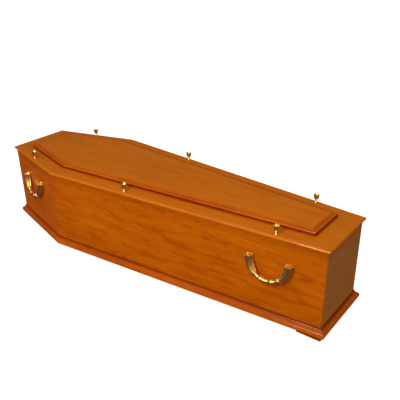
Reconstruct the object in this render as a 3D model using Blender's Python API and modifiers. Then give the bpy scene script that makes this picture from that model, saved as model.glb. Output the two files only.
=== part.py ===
"""A six-sided wooden coffin: a hollow box of boards on two bearers, with a plinth moulding,
a lift-off lid with a raised and moulded panel, six lid screws and four cast handles.

Metres, +Z up. X runs along the length with the head at -X, and the origin is on the ground
under the middle of the box.
"""

import math

import bmesh
import bpy
from mathutils import Vector
from mathutils.geometry import interpolate_bezier

# Fits
JOINT_GAP = 0.0003
SHANK_CLEARANCE = 0.0006

# Box, measured on the outer faces of the boards
BODY_LENGTH = 1.900
HEAD_WIDTH = 0.326
SHOULDER_WIDTH = 0.580
FOOT_WIDTH = 0.325
SHOULDER_FROM_HEAD = 0.460
WALL_HEIGHT = 0.3834
WALL_THICKNESS = 0.018
BASE_THICKNESS = 0.018

# Bearers under the base
BEARER_THICKNESS = 0.018
BEARER_WIDTH = 0.110
BEARER_EDGE_BEVEL = 0.0015
FOOT_BEARER_LENGTH = 0.362
FOOT_BEARER_FROM_END = -0.010
HEAD_BEARER_LENGTH = 0.310
HEAD_BEARER_FROM_END = 0.205

# Plinth moulding round the foot of the walls
PLINTH_HEIGHT = 0.0365
PLINTH_PROJECTION = 0.022
PLINTH_FOOT_FILLET = 0.0135
PLINTH_TOP_FILLET = 0.0035
PLINTH_ARRIS = 0.0012
PLINTH_OGEE_STEPS = 9

# Lid
LID_THICKNESS = 0.018
LID_OVERHANG = 0.011
LID_NOSE_DROP = 0.009
LID_TOP_STEP = 0.001
LID_UNDERCUT = 0.008

# Raised panel on the lid and the moulding round it
PANEL_THICKNESS = 0.0215
PANEL_SIDE_MARGIN = 0.064
PANEL_END_MARGIN = 0.084
MOULDING_WIDTH = 0.025
MOULDING_HEIGHT = 0.022
MOULDING_TOP_WIDTH = 0.004
MOULDING_QUIRK = 0.003
MOULDING_BEAD_RADIUS = 0.0075
MOULDING_BEAD_ARC = (-50, 100)
MOULDING_COVE_ARC = (262, 180)
MOULDING_FOOT_HEIGHT = 0.0025

# Lid screws, their distances taken from the head end
SCREW_STATIONS = {"head": 0.240, "middle": 0.917, "foot": 1.679}
SCREW_HEIGHT = 0.041
SCREW_CROWN_RADIUS = 0.0130
SCREW_FLANGE_RADIUS = 0.0085
SCREW_NECK_RADIUS = 0.0029
SCREW_PETALS = 6
SCREW_NOTCH_DEPTH = 0.17
SCREW_TIP_RISE = 0.0036
SCREW_SHANK_RADIUS = 0.0025
SCREW_SHANK_LENGTH = 0.050

# Cast handles
HANDLE_FROM_END = 0.238
HANDLE_TOP = 0.307
HANDLE_DROP = 0.092
HANDLE_HALF_SPAN = 0.089
HANDLE_STAND_OFF = 0.030
HANDLE_CURVE_STEPS = 100
HORN_STAND_OFF = 0.0125
HORN_LEAN = math.radians(4)
HORN_PULL = 0.056
HORN_HALF_WIDTH = 0.0185
HORN_HALF_DEPTH = 0.0195
HORN_FLUTES = 6
HORN_FLUTE_DEPTH = 0.22
HORN_MOUTH_RECESS = 0.008
HORN_MOUTH_SHARE = 0.68
COLLAR_RADIUS = 0.0146
SLEEVE_RADIUS = 0.0092
BULB_RADIUS = 0.0126
GRIP_PULL = 0.055
GRIP_RADIUS = 0.0068

# Corners of the six-sided plan and the edges that start at them
HEAD_NEAR, SHOULDER_NEAR, FOOT_NEAR, FOOT_FAR, SHOULDER_FAR, HEAD_FAR = range(6)
EDGE_NAMES = [
    "head_side_near",
    "long_side_near",
    "foot",
    "long_side_far",
    "head_side_far",
    "head",
]

# Heights that follow from the sizes above
BOX_BOTTOM = BEARER_THICKNESS + JOINT_GAP
WALL_TOP = BOX_BOTTOM + WALL_HEIGHT
LID_BOTTOM = WALL_TOP + JOINT_GAP
LID_TOP = LID_BOTTOM + LID_THICKNESS
PANEL_BOTTOM = LID_TOP + JOINT_GAP

FINISHES = {
    "veneer": ((0.46, 0.155, 0.022), 0.28, 0.0),
    "moulding": ((0.42, 0.115, 0.018), 0.30, 0.0),
    "bare_wood": ((0.40, 0.23, 0.11), 0.70, 0.0),
    "gilt": ((0.78, 0.50, 0.17), 0.24, 1.0),
}


def clear_scene():
    """Remove what the scene holds before modelling."""
    for item in list(bpy.data.objects):
        bpy.data.objects.remove(item, do_unlink=True)


def make_collection(name):
    """Collection linked under the scene."""
    group = bpy.data.collections.new(name)
    bpy.context.scene.collection.children.link(group)
    return group


def give_material(item, finish):
    """Own material for one part, from its kind of finish."""
    colour, roughness, metallic = FINISHES[finish]
    material = bpy.data.materials.new(f"{item.name}_{finish}")
    material.use_nodes = True
    shader = material.node_tree.nodes["Principled BSDF"]
    shader.inputs["Base Color"].default_value = (*colour, 1.0)
    shader.inputs["Roughness"].default_value = roughness
    shader.inputs["Metallic"].default_value = metallic
    item.data.materials.clear()
    item.data.materials.append(material)


def add_object(name, data, group, finish):
    """Object in its collection with its material."""
    item = bpy.data.objects.new(name, data)
    group.objects.link(item)
    give_material(item, finish)
    return item


# Plan geometry

def plan_outline():
    """Six corners of the walls' outer faces, counter-clockwise from the near head corner."""
    head_x = -BODY_LENGTH / 2
    shoulder_x = head_x + SHOULDER_FROM_HEAD
    near = [
        Vector((head_x, -HEAD_WIDTH / 2)),
        Vector((shoulder_x, -SHOULDER_WIDTH / 2)),
        Vector((-head_x, -FOOT_WIDTH / 2)),
    ]
    return near + [Vector((p.x, -p.y)) for p in reversed(near)]


def edge_direction(outline, edge):
    """Unit vector along an edge of the outline."""
    return (outline[(edge + 1) % len(outline)] - outline[edge]).normalized()


def edge_normal(outline, edge):
    """Unit vector pointing out of the outline from an edge."""
    direction = edge_direction(outline, edge)
    return Vector((direction.y, -direction.x))


def offset_outline(outline, distances):
    """Outline with each edge moved out by its own distance."""
    moved = []
    for index, corner in enumerate(outline):
        before = edge_normal(outline, index - 1)
        after = edge_normal(outline, index)
        area = before.x * after.y - before.y * after.x
        out_before, out_after = distances[index - 1], distances[index]
        shift_x = (out_before * after.y - out_after * before.y) / area
        shift_y = (out_after * before.x - out_before * after.x) / area
        moved.append(corner + Vector((shift_x, shift_y)))
    return moved


def even_offset(outline, distance):
    """Outline with every edge moved out by the same distance."""
    return offset_outline(outline, [distance] * len(outline))


def panel_outline():
    """Plan of the raised board inside its moulding."""
    side = -(PANEL_SIDE_MARGIN + MOULDING_WIDTH)
    end = -(PANEL_END_MARGIN + MOULDING_WIDTH)
    return offset_outline(plan_outline(), [side, side, end, side, side, end])


def mitre_trim(outline, corner, edge):
    """Distance along an edge that leaves half the joint's gap at a mitre."""
    direction = edge_direction(outline, edge)
    bisector = (edge_normal(outline, corner - 1) + edge_normal(outline, corner)).normalized()
    across = abs(direction.x * bisector.y - direction.y * bisector.x)
    return JOINT_GAP / 2 / across


# Mesh helpers

def mesh_from(name, build):
    """Mesh data with its faces turned outwards."""
    build.normal_update()
    bmesh.ops.recalc_face_normals(build, faces=build.faces)
    data = bpy.data.meshes.new(name)
    build.to_mesh(data)
    build.free()
    return data


def loft(name, sections):
    """Closed mesh through sections that have the same number of points."""
    build = bmesh.new()
    rings = [[build.verts.new(point) for point in section] for section in sections]
    for ring, following in zip(rings, rings[1:]):
        count = len(ring)
        for index in range(count):
            beside = (index + 1) % count
            build.faces.new((ring[index], ring[beside], following[beside], following[index]))
    build.faces.new(rings[0])
    build.faces.new(rings[-1])
    return mesh_from(name, build)


def run_along(name, outline, first_edge, edge_count, profile, base_z):
    """Profile carried along neighbouring edges and cut on the mitres at both ends.

    The profile's points are (distance out of the outline, height above base_z).
    """
    last_edge = first_edge + edge_count - 1
    outlines = [even_offset(outline, out) for out, _ in profile]
    sections = []
    for corner in range(first_edge, last_edge + 2):
        shift = Vector((0, 0))
        if corner == first_edge:
            trim = mitre_trim(outline, corner % len(outline), first_edge)
            shift = edge_direction(outline, first_edge) * trim
        if corner == last_edge + 1:
            trim = mitre_trim(outline, corner % len(outline), last_edge)
            shift = -edge_direction(outline, last_edge) * trim
        section = []
        for plan, (_, height) in zip(outlines, profile):
            point = plan[corner % len(outline)] + shift
            section.append((point.x, point.y, base_z + height))
        sections.append(section)
    return loft(name, sections)


def arc(centre, radius_x, radius_y, start, stop, steps):
    """Points on an elliptical arc, with angles in degrees."""
    points = []
    for step in range(steps + 1):
        angle = math.radians(start + (stop - start) * step / steps)
        across = centre[0] + radius_x * math.cos(angle)
        up = centre[1] + radius_y * math.sin(angle)
        points.append((across, up))
    return points


def add_flat_board(name, outline, bottom, thickness, group, finish):
    """Board from a filled plan curve, extruded both ways from its middle."""
    curve = bpy.data.curves.new(name, "CURVE")
    curve.dimensions = "2D"
    curve.fill_mode = "BOTH"
    curve.extrude = thickness / 2
    spline = curve.splines.new("POLY")
    spline.points.add(len(outline) - 1)
    for point, corner in zip(spline.points, outline):
        point.co = (corner.x, corner.y, 0, 1)
    spline.use_cyclic_u = True
    board = add_object(name, curve, group, finish)
    board.location.z = bottom + thickness / 2


# Box

def add_base_board(group):
    """Bottom board, fitted between the walls."""
    outline = even_offset(plan_outline(), -(WALL_THICKNESS + JOINT_GAP))
    add_flat_board("base_board", outline, BOX_BOTTOM, BASE_THICKNESS, group, "bare_wood")


def wall_section():
    """Upright board section, its outer face on the outline."""
    return [(0, 0), (0, WALL_HEIGHT), (-WALL_THICKNESS, WALL_HEIGHT), (-WALL_THICKNESS, 0)]


def add_walls(group, cutters):
    """Two long boards bent at the shoulders, and two end boards mitred to them."""
    outline = plan_outline()
    near = (HEAD_NEAR, "near")
    far = (FOOT_FAR, "far")
    for first_edge, side in (near, far):
        name = f"side_board_{side}"
        data = run_along(name, outline, first_edge, 2, wall_section(), BOX_BOTTOM)
        board = add_object(name, data, group, "veneer")
        cut_screw_holes(board, side, cutters)
    for edge, name in ((FOOT_NEAR, "foot_board"), (HEAD_FAR, "head_board")):
        data = run_along(name, outline, edge, 1, wall_section(), BOX_BOTTOM)
        add_object(name, data, group, "veneer")


def add_bearers(group):
    """Two flat battens across the underside, which the coffin stands on."""
    end = BODY_LENGTH / 2
    places = {
        "bearer_foot": (end - FOOT_BEARER_FROM_END, -1, FOOT_BEARER_LENGTH),
        "bearer_head": (HEAD_BEARER_FROM_END - end, 1, HEAD_BEARER_LENGTH),
    }
    for name, (outer_x, inward, length) in places.items():
        build = bmesh.new()
        bmesh.ops.create_cube(build, size=1)
        size = Vector((BEARER_WIDTH, length, BEARER_THICKNESS))
        bmesh.ops.scale(build, vec=size, verts=build.verts)
        bearer = add_object(name, mesh_from(name, build), group, "moulding")
        bearer.location = (outer_x + inward * BEARER_WIDTH / 2, 0, BEARER_THICKNESS / 2)
        bevel = bearer.modifiers.new("eased_edges", "BEVEL")
        bevel.width = BEARER_EDGE_BEVEL
        bevel.segments = 1


def plinth_profile():
    """Ogee between a narrow top fillet and an upright foot, hollow above and full below."""
    foot = PLINTH_FOOT_FILLET
    outer = PLINTH_PROJECTION - PLINTH_ARRIS
    inner = PLINTH_TOP_FILLET
    ogee_top = PLINTH_HEIGHT - PLINTH_TOP_FILLET
    ogee = []
    for step in range(PLINTH_OGEE_STEPS + 1):
        share = step / PLINTH_OGEE_STEPS
        eased = share * share * (3 - 2 * share)
        ogee.append((outer + (inner - outer) * eased, foot + (ogee_top - foot) * share))
    return [
        (JOINT_GAP, 0),
        (PLINTH_PROJECTION, 0),
        (PLINTH_PROJECTION, foot - PLINTH_ARRIS),
        *ogee,
        (inner, PLINTH_HEIGHT),
        (JOINT_GAP, PLINTH_HEIGHT),
    ]


def add_plinth(group):
    """Six mitred lengths of plinth moulding, one on each face of the box."""
    outline = plan_outline()
    for edge, place in enumerate(EDGE_NAMES):
        name = f"plinth_{place}"
        data = run_along(name, outline, edge, 1, plinth_profile(), BOX_BOTTOM)
        add_object(name, data, group, "moulding")


# Lid

def lid_edge():
    """Edge of the lid from its underside to its top, as (overhang, height) points."""
    nose = LID_THICKNESS - LID_NOSE_DROP
    neck = LID_OVERHANG - LID_UNDERCUT
    shoulder = LID_THICKNESS - LID_TOP_STEP
    round_x = LID_OVERHANG - neck
    cove = arc((LID_OVERHANG, 0), round_x, nose - LID_TOP_STEP, 180, 90, 4)
    ovolo = arc((neck, nose), round_x, shoulder - nose, 0, 90, 5)
    return [*cove, *ovolo, (neck, LID_THICKNESS)]


def add_lid_board(group, cutters):
    """Six-sided lid with a moulded edge, bored for the screws."""
    outline = plan_outline()
    sections = []
    for overhang, height in lid_edge():
        ring = even_offset(outline, overhang)
        sections.append([(p.x, p.y, LID_BOTTOM + height) for p in ring])
    lid = add_object("lid_board", loft("lid_board", sections), group, "veneer")
    for side in ("near", "far"):
        cut_screw_holes(lid, side, cutters)


def moulding_profile():
    """Top fillet, cove, round bead, quirk and foot, outwards from the raised board."""
    foot = MOULDING_FOOT_HEIGHT
    radius = MOULDING_BEAD_RADIUS
    bead_x = MOULDING_WIDTH - radius - MOULDING_QUIRK
    bead = arc((bead_x, foot + radius), radius, radius, *MOULDING_BEAD_ARC, 8)
    cove_x, cove_foot = bead[-1]
    reach = cove_x - MOULDING_TOP_WIDTH
    drop = MOULDING_HEIGHT - cove_foot
    cove = arc((cove_x, MOULDING_HEIGHT), reach, drop, *MOULDING_COVE_ARC, 4)
    return [
        (JOINT_GAP, 0),
        (MOULDING_WIDTH, 0),
        (MOULDING_WIDTH, foot),
        (bead[0][0] + MOULDING_QUIRK / 2, foot),
        *bead,
        *cove,
        (JOINT_GAP, MOULDING_HEIGHT),
    ]


def add_raised_panel(group):
    """Raised board on the lid and the six mitred lengths of moulding round it."""
    outline = panel_outline()
    add_flat_board("raised_panel", outline, PANEL_BOTTOM, PANEL_THICKNESS, group, "veneer")
    for edge, place in enumerate(EDGE_NAMES):
        name = f"panel_moulding_{place}"
        data = run_along(name, outline, edge, 1, moulding_profile(), PANEL_BOTTOM)
        add_object(name, data, group, "moulding")


# Lid screws

def screw_places(side):
    """Plan position of each lid screw on one side, over the middle of the wall."""
    inner = even_offset(plan_outline(), -WALL_THICKNESS / 2)
    head, shoulder, foot = inner[HEAD_NEAR], inner[SHOULDER_NEAR], inner[FOOT_NEAR]
    places = {}
    for station, distance in SCREW_STATIONS.items():
        x = distance - BODY_LENGTH / 2
        start, stop = (head, shoulder) if x < shoulder.x else (shoulder, foot)
        y = start.y + (stop.y - start.y) * (x - start.x) / (stop.x - start.x)
        places[station] = (x, y if side == "near" else -y)
    return places


def cut_screw_holes(board, side, cutters):
    """Bore a board for the shanks of the screws on one side."""
    bottom = LID_TOP + JOINT_GAP - SCREW_SHANK_LENGTH - SHANK_CLEARANCE
    top = LID_TOP + SHANK_CLEARANCE
    for station, (x, y) in screw_places(side).items():
        name = f"bore_{board.name}_{side}_{station}"
        build = bmesh.new()
        radius = SCREW_SHANK_RADIUS + SHANK_CLEARANCE
        bmesh.ops.create_cone(
            build,
            cap_ends=True,
            segments=2 * SCREW_PETALS,
            radius1=radius,
            radius2=radius,
            depth=top - bottom,
        )
        cutter = bpy.data.objects.new(name, mesh_from(name, build))
        cutter.location = (x, y, (top + bottom) / 2)
        cutter.hide_render = True
        cutter.display_type = "WIRE"
        cutters.objects.link(cutter)
        bore = board.modifiers.new(name, "BOOLEAN")
        bore.operation = "DIFFERENCE"
        bore.solver = "EXACT"
        bore.object = cutter


def screw_rings():
    """Rings from the shank's tip to the crown's hollow.

    Each is (radius, height, depth of the notches between petals, rise of the petals' tips).
    """
    flange = SCREW_FLANGE_RADIUS
    neck = SCREW_NECK_RADIUS
    crown = SCREW_CROWN_RADIUS
    notch = SCREW_NOTCH_DEPTH
    rim = SCREW_HEIGHT - SCREW_TIP_RISE
    return [
        (SCREW_SHANK_RADIUS, -SCREW_SHANK_LENGTH, 0, 0),
        (SCREW_SHANK_RADIUS, 0, 0, 0),
        (flange, 0, 0, 0),
        (flange, 0.05 * rim, 0, 0),
        (0.60 * flange, 0.13 * rim, 0, 0),
        (1.10 * neck, 0.20 * rim, 0, 0),
        (neck, 0.26 * rim, 0, 0),
        (0.32 * crown, 0.31 * rim, 0.2 * notch, 0),
        (0.56 * crown, 0.41 * rim, 0.5 * notch, 0),
        (0.80 * crown, 0.53 * rim, 0.7 * notch, 0),
        (0.94 * crown, 0.68 * rim, 0.8 * notch, 0),
        (0.98 * crown, 0.84 * rim, 0.9 * notch, 0),
        (crown, rim, notch, SCREW_TIP_RISE),
        (0.76 * crown, 0.95 * rim, notch, SCREW_TIP_RISE),
        (0.44 * crown, 0.74 * rim, 0, 0),
        (0.20 * crown, 0.82 * rim, 0, 0),
    ]


def screw_mesh():
    """Shank, flange, thin neck and a six-petalled crown that is hollow at the top."""
    count = 2 * SCREW_PETALS
    sections = []
    for radius, height, notch, tip_rise in screw_rings():
        section = []
        for index in range(count):
            angle = math.tau * index / count
            between = index % 2
            out = radius * (1 - notch * between)
            rise = tip_rise * (1 - between)
            section.append((out * math.cos(angle), out * math.sin(angle), height + rise))
        sections.append(section)
    return loft("lid_screw", sections)


def add_lid_screws(group):
    """Six screws that hold the lid down, three on each side."""
    data = screw_mesh()
    for side in ("near", "far"):
        for station, (x, y) in screw_places(side).items():
            screw = add_object(f"lid_screw_{side}_{station}", data.copy(), group, "gilt")
            screw.location = (x, y, LID_TOP + JOINT_GAP)


# Handles

def handle_stations():
    """Stations from the middle of the grip to a horn's mouth.

    Each is (share of the arm, half width, half depth, flute depth).
    """
    grip = GRIP_RADIUS
    bulb = BULB_RADIUS
    sleeve = SLEEVE_RADIUS
    collar = COLLAR_RADIUS
    width = HORN_HALF_WIDTH
    depth = HORN_HALF_DEPTH
    flute = HORN_FLUTE_DEPTH
    return [
        (0.00, grip, grip, 0),
        (0.09, grip, grip, 0),
        (0.12, 0.82 * bulb, 0.82 * bulb, 0),
        (0.15, bulb, bulb, 0),
        (0.19, bulb, bulb, 0),
        (0.22, 0.85 * bulb, 0.85 * bulb, 0),
        (0.25, sleeve, sleeve, 0),
        (0.34, sleeve, sleeve, 0),
        (0.36, collar, collar, 0),
        (0.41, collar, collar, 0),
        (0.43, 0.68 * width, 0.60 * depth, 0.4 * flute),
        (0.49, 0.80 * width, 0.68 * depth, 0.9 * flute),
        (0.62, 0.88 * width, 0.76 * depth, flute),
        (0.75, 0.93 * width, 0.85 * depth, flute),
        (0.88, 0.97 * width, 0.94 * depth, flute),
        (1.00, width, depth, flute),
    ]


def arm_points():
    """Curve of one arm as (along the wall, up, out of the wall), from the grip's middle."""
    bottom = HANDLE_TOP - HANDLE_DROP
    start = Vector((0, bottom))
    stop = Vector((HANDLE_HALF_SPAN, HANDLE_TOP))
    leave = start + Vector((GRIP_PULL, 0))
    arrive = stop - Vector((math.sin(HORN_LEAN), math.cos(HORN_LEAN))) * HORN_PULL
    curve = interpolate_bezier(start, leave, arrive, stop, HANDLE_CURVE_STEPS + 1)
    points = []
    for index, place in enumerate(curve):
        share = index / HANDLE_CURVE_STEPS
        fall = share * share * (3 - 2 * share)
        out = HANDLE_STAND_OFF + (HORN_STAND_OFF - HANDLE_STAND_OFF) * fall
        points.append(Vector((place.x, place.y, out)))
    return points


def handle_section(points, share, half_width, half_depth, flute):
    """Fluted oval square to the arm, flat where it bears on the wall."""
    last = len(points) - 1
    index = round(share * last)
    ahead = points[min(index + 1, last)]
    behind = points[max(index - 1, 0)]
    along = (ahead - behind).normalized()
    across = along.cross(Vector((0, 0, 1))).normalized()
    outward = across.cross(along).normalized()
    section = []
    count = 2 * HORN_FLUTES
    for step in range(count):
        angle = math.pi / 2 + math.tau * step / count
        reach = 1 - flute * (step % 2)
        side = across * (half_width * reach * math.cos(angle))
        point = points[index] + side + outward * (half_depth * reach * math.sin(angle))
        point.z = max(point.z, JOINT_GAP)
        section.append(point)
    return section


def handle_sections():
    """All sections of a handle from one horn's mouth to the other's."""
    points = arm_points()
    arm = [handle_section(points, *station) for station in handle_stations()]
    mouth = arm[-1]
    centre = sum(mouth, Vector((0, 0, 0))) / len(mouth)
    inward = (points[-2] - points[-1]).normalized() * HORN_MOUTH_RECESS
    hollow = [centre + (point - centre) * HORN_MOUTH_SHARE + inward for point in mouth]
    arm.append(hollow)
    other = [[Vector((-p.x, p.y, p.z)) for p in section] for section in arm[1:]]
    return other[::-1] + arm


def add_handles(group):
    """Four handles, one near each end of both sides."""
    outline = plan_outline()
    sections = handle_sections()
    places = {
        "near_head": (HEAD_NEAR, HANDLE_FROM_END),
        "near_foot": (SHOULDER_NEAR, None),
        "far_foot": (FOOT_FAR, HANDLE_FROM_END),
        "far_head": (SHOULDER_FAR, None),
    }
    for place, (edge, distance) in places.items():
        length = (outline[(edge + 1) % len(outline)] - outline[edge]).length
        along = edge_direction(outline, edge)
        normal = edge_normal(outline, edge)
        reach = length - HANDLE_FROM_END if distance is None else distance
        centre = outline[edge] + along * reach
        name = f"handle_{place}"
        placed = []
        for section in sections:
            ring = []
            for point in section:
                plan = centre + along * point.x + normal * point.z
                ring.append((plan.x, plan.y, point.y))
            placed.append(ring)
        data = loft(name, placed)
        data.shade_smooth()
        add_object(name, data, group, "gilt")


def main():
    """Model the coffin."""
    clear_scene()
    coffin = make_collection("wooden_coffin")
    cutters = make_collection("cutters")
    add_base_board(coffin)
    add_walls(coffin, cutters)
    add_bearers(coffin)
    add_plinth(coffin)
    add_lid_board(coffin, cutters)
    add_raised_panel(coffin)
    add_lid_screws(coffin)
    add_handles(coffin)


main()
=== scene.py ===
"""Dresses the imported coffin: varnished boards with eased arrises, mitred mouldings, tulip lid
screws and fluted handles, each in the place of its plain solid, on a pale studio floor.

Metres, +Z up. X runs along the length with the head at -X.
"""

import math

import bmesh
import bpy
import numpy as np
from bpy.props import FloatProperty, FloatVectorProperty, IntProperty, PointerProperty
from bpy.types import NodeSocket, Operator, Panel, PropertyGroup
from mathutils import Matrix, Vector
from mathutils.geometry import interpolate_bezier


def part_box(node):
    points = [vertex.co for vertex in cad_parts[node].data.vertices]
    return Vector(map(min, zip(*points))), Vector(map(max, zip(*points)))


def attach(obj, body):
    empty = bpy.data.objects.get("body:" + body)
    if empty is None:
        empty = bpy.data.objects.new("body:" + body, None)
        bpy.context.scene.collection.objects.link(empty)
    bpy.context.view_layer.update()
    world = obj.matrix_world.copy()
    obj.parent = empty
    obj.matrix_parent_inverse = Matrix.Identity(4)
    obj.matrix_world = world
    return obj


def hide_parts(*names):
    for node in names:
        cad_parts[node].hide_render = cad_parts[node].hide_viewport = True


bl_info = {
    "name": "Wooden coffin",
    "version": (1, 0, 0),
    "blender": (4, 5, 0),
    "location": "3D View > Sidebar > Coffin",
    "description": "Makes the boards, mouldings, screws and handles of a wooden coffin",
    "category": "Object",
}

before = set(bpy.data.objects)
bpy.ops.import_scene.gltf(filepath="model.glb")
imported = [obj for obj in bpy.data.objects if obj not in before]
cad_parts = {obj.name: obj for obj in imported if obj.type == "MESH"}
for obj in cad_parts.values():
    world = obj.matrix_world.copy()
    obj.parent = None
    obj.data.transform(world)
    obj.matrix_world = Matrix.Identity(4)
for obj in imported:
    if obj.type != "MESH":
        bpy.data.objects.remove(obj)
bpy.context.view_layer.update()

BODY = "root"
GRAIN = "grain_place"
# Masks on the meshes: hollow darkens wood with stain and painted shade and browns gilt with patina;
# rubbed lightens edges with wear and painted highlight
HOLLOW = "hollow"
RUBBED_HIGHLIGHT = "rubbed"

# Corners of the six-sided plan and the edges that start at them
HEAD_NEAR, SHOULDER_NEAR, FOOT_NEAR, FOOT_FAR, SHOULDER_FAR, HEAD_FAR = range(6)
EDGE_NAMES = [
    "head_side_near",
    "long_side_near",
    "foot",
    "long_side_far",
    "head_side_far",
    "head",
]


def top_of(node):
    """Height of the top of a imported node."""
    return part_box(node)[1].z


def bottom_of(node):
    """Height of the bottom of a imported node."""
    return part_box(node)[0].z


# Sizes and finishes that a user may change


def metres(name, description, default):
    """Length that a user may set."""
    return FloatProperty(
        name=name, description=description, default=default, unit="LENGTH", precision=4
    )


def tint(name, description, default):
    """Colour that a user may set."""
    return FloatVectorProperty(
        name=name, description=description, default=default, subtype="COLOR"
    )


class CoffinSizes(PropertyGroup):
    """Sizes of the coffin's boards, mouldings and metalwork"""

    body_length: metres(
        "Box length",
        "Length over the outer faces of the end boards",
        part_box("foot_board")[1].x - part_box("head_board")[0].x,
    )
    head_width: metres("Head width", "Width of the box at the head end", 0.326)
    shoulder_width: metres("Shoulder width", "Width of the box at the shoulders", 0.580)
    foot_width: metres("Foot width", "Width of the box at the foot end", 0.325)
    shoulder_from_head: metres(
        "Shoulder distance", "Distance of the shoulders from the head end", 0.460
    )
    wall_thickness: metres("Board thickness", "Thickness of the side and end boards", 0.018)
    arris: metres("Arris radius", "How far the boards' edges are eased", 0.0012)
    joint_gap: metres("Joint gap", "Gap between neighbouring pieces", 0.0003)
    plinth_projection: metres(
        "Plinth projection", "How far the plinth moulding stands out from the walls", 0.022
    )
    lid_overhang: metres("Lid overhang", "How far the lid stands out over the walls", 0.011)
    panel_side_margin: metres("Panel side margin", "Lid left bare beside the panel moulding", 0.064)
    panel_end_margin: metres(
        "Panel end margin", "Lid left bare beyond the ends of the panel moulding", 0.084
    )
    moulding_width: metres(
        "Panel moulding width", "Width of the moulding round the raised panel", 0.025
    )
    bead_radius: metres("Bead radius", "Radius of the round bead on the panel moulding", 0.0075)
    screw_height: metres(
        "Screw height",
        "Height of a lid screw above the lid",
        top_of("lid_screw_near_foot") - top_of("lid_board"),
    )
    crown_radius: metres("Crown radius", "Radius of a lid screw's crown at its mouth", 0.0130)
    crown_petals: IntProperty(
        name="Crown petals",
        description="Number of petals round a lid screw's crown",
        default=6,
        min=3,
        max=12,
    )
    handle_half_span: metres(
        "Handle half span", "Half the distance between the mouths of a handle's horns", 0.089
    )
    handle_drop: metres(
        "Handle drop", "Height from the middle of the grip to the mouths of the horns", 0.092
    )
    horn_half_width: metres("Horn half width", "Half the width of a horn at its mouth", 0.0185)
    horn_flutes: IntProperty(
        name="Horn flutes",
        description="Number of flutes round a horn",
        default=6,
        min=4,
        max=16,
    )


class CoffinFinish(PropertyGroup):
    """Colours and gloss of the coffin's finishes"""

    side_light: tint(
        "Side veneer, light", "Light streaks of the veneer on the long sides", (0.64, 0.150, 0.0004)
    )
    side_dark: tint(
        "Side veneer, dark",
        "Dark streaks and mottles of the veneer on the long sides",
        (0.41, 0.068, 0.0002),
    )
    # Shoulder veneer: a lighter copy of the side veneer on the same bent boards, toned for how
    # light falls between shoulder and head: painted light
    shoulder_light: tint(
        "Shoulder veneer, light",
        "Light streaks of the veneer between shoulder and head",
        (0.70, 0.152, 0.006),
    )
    shoulder_dark: tint(
        "Shoulder veneer, dark",
        "Dark streaks of the veneer between shoulder and head",
        (0.47, 0.078, 0.004),
    )
    end_light: tint(
        "End veneer, light", "Light streaks of the veneer on the end boards", (0.52, 0.195, 0.042)
    )
    end_dark: tint(
        "End veneer, dark", "Dark streaks of the veneer on the end boards", (0.41, 0.122, 0.024)
    )
    lid_light: tint(
        "Lid veneer, light",
        "Light streaks of the veneer on the lid and raised panel",
        (0.69, 0.180, 0.004),
    )
    lid_dark: tint(
        "Lid veneer, dark",
        "Dark streaks of the veneer on the lid and raised panel",
        (0.51, 0.113, 0.003),
    )
    moulding_light: tint(
        "Moulding, light", "Light streaks of the stained mouldings", (0.71, 0.146, 0.001)
    )
    moulding_dark: tint(
        "Moulding, dark", "Dark streaks and hollows of the stained mouldings", (0.32, 0.036, 0.0005)
    )
    bare_light: tint(
        "Bare board, light", "Light streaks of the unvarnished boards", (0.52, 0.33, 0.17)
    )
    bare_dark: tint(
        "Bare board, dark", "Dark streaks of the unvarnished boards", (0.34, 0.19, 0.085)
    )
    gilt: tint("Gilt", "Colour of the polished gilt metal", (1.0, 0.50, 0.08))
    tarnish: tint("Tarnish", "Colour of the gilt metal in its hollows", (0.060, 0.020, 0.001))
    gloss: FloatProperty(
        name="Varnish gloss",
        description="Strength of the clear varnish over the wood",
        default=0.60,
        min=0.0,
        max=1.0,
        subtype="FACTOR",
    )


class StudioSettings(PropertyGroup):
    """Lights and camera of the studio"""

    key_power: FloatProperty(
        name="Key light",
        description="Power of the soft light close to the camera",
        default=34.0,
        unit="POWER",
    )
    room_light: FloatProperty(
        name="Room light",
        description="Brightness of the room round the coffin",
        default=0.55,
        min=0.0,
    )
    window_light: FloatProperty(
        name="Window light",
        description="Brightness of the room behind the camera as polished surfaces mirror it",
        default=2.8,
        min=0.0,
    )
    focal_length: FloatProperty(
        name="Focal length",
        description="Camera focal length in millimetres on a 36 mm frame",
        default=49.0,
        subtype="DISTANCE_CAMERA",
    )


# Plan geometry


def plan_outline(sizes):
    """Six corners of the walls' outer faces, counter-clockwise from the near head corner."""
    head_x = -sizes.body_length / 2
    near = [
        Vector((head_x, -sizes.head_width / 2)),
        Vector((head_x + sizes.shoulder_from_head, -sizes.shoulder_width / 2)),
        Vector((-head_x, -sizes.foot_width / 2)),
    ]
    return near + [Vector((p.x, -p.y)) for p in reversed(near)]


def edge_direction(outline, edge):
    """Unit vector along an edge of the outline."""
    edge %= len(outline)
    return (outline[(edge + 1) % len(outline)] - outline[edge]).normalized()


def edge_normal(outline, edge):
    """Unit vector pointing out of the outline from an edge."""
    direction = edge_direction(outline, edge)
    return Vector((direction.y, -direction.x))


def offset_outline(outline, distances):
    """Outline with each edge moved out by its own distance."""
    moved = []
    for index, corner in enumerate(outline):
        before = edge_normal(outline, index - 1)
        after = edge_normal(outline, index)
        area = before.x * after.y - before.y * after.x
        out_before, out_after = distances[index - 1], distances[index]
        shift_x = (out_before * after.y - out_after * before.y) / area
        shift_y = (out_after * before.x - out_before * after.x) / area
        moved.append(corner + Vector((shift_x, shift_y)))
    return moved


def even_offset(outline, distance):
    """Outline with every edge moved out by the same distance."""
    return offset_outline(outline, [distance] * len(outline))


def panel_outline(sizes):
    """Plan of the raised board inside its moulding."""
    side = -(sizes.panel_side_margin + sizes.moulding_width)
    end = -(sizes.panel_end_margin + sizes.moulding_width)
    return offset_outline(plan_outline(sizes), [side, side, end, side, side, end])


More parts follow.
